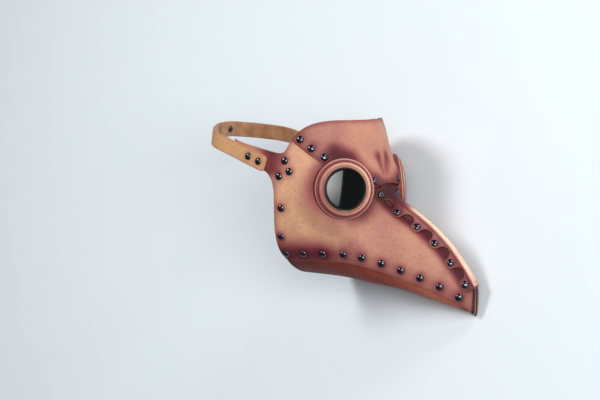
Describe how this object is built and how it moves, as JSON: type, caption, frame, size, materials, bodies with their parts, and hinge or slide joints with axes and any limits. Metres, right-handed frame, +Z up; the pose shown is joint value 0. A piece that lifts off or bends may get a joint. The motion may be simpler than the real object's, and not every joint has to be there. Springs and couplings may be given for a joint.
{
  "type": "leather plague doctor mask",
  "caption": "Riveted leather plague doctor mask with a long downturned beak, dark round lenses in stitched rings and a head strap, lying on its side.",
  "frame": {"origin": "on the surface that the mask lies on, under the middle of its bounding box", "axes": "+Z up from the surface; +X from the strap towards the beak's tip; the worn mask's top points mostly along +Y, and its right side faces up"},
  "size_m": [0.3532, 0.232, 0.2027],
  "materials": {
    "tan_leather": "hand-rubbed tan leather, burgundy in the grooves and at the edges, satin",
    "dark_leather": "dark red-brown leather, satin",
    "strap_leather": "natural tan strap leather, smooth",
    "gunmetal": "dark polished metal",
    "black_rim": "black, satin",
    "dark_lens": "nearly black, highly polished"
  },
  "bodies": {
    "root": {"side_panel_right": "tan_leather", "side_panel_left": "tan_leather", "beak_strip": "tan_leather", "brow_panel": "tan_leather", "underside_panel": "dark_leather", "eye_ring_right": "tan_leather", "lens_rim_right": "black_rim", "lens_right": "dark_lens", "brow_rivet_1_right": "gunmetal", "brow_rivet_2_right": "gunmetal", "brow_rivet_3_right": "gunmetal", "bridge_rivet_right": "gunmetal", "cheek_rivet_1_right": "gunmetal", "cheek_rivet_2_right": "gunmetal", "strip_rivet_1_right": "gunmetal", "strip_rivet_2_right": "gunmetal", "strip_rivet_3_right": "gunmetal", "strip_rivet_4_right": "gunmetal", "strip_rivet_5_right": "gunmetal", "strip_rivet_6_right": "gunmetal", "jaw_rivet_1_right": "gunmetal", "jaw_rivet_2_right": "gunmetal", "jaw_rivet_3_right": "gunmetal", "jaw_rivet_4_right": "gunmetal", "jaw_rivet_5_right": "gunmetal", "jaw_rivet_6_right": "gunmetal", "jaw_rivet_7_right": "gunmetal", "jaw_rivet_8_right": "gunmetal", "jaw_rivet_9_right": "gunmetal", "jaw_rivet_10_right": "gunmetal", "eye_ring_left": "tan_leather", "lens_rim_left": "black_rim", "lens_left": "dark_lens", "brow_rivet_1_left": "gunmetal", "brow_rivet_2_left": "gunmetal", "brow_rivet_3_left": "gunmetal", "bridge_rivet_left": "gunmetal", "cheek_rivet_1_left": "gunmetal", "cheek_rivet_2_left": "gunmetal", "strip_rivet_1_left": "gunmetal", "strip_rivet_2_left": "gunmetal", "strip_rivet_3_left": "gunmetal", "strip_rivet_4_left": "gunmetal", "strip_rivet_5_left": "gunmetal", "strip_rivet_6_left": "gunmetal", "jaw_rivet_1_left": "gunmetal", "jaw_rivet_2_left": "gunmetal", "jaw_rivet_3_left": "gunmetal", "jaw_rivet_4_left": "gunmetal", "jaw_rivet_5_left": "gunmetal", "jaw_rivet_6_left": "gunmetal", "jaw_rivet_7_left": "gunmetal", "jaw_rivet_8_left": "gunmetal", "jaw_rivet_9_left": "gunmetal", "jaw_rivet_10_left": "gunmetal", "strap_right": "strap_leather", "strap_left": "strap_leather", "strap_stud": "gunmetal"}
  },
  "joints": []
}
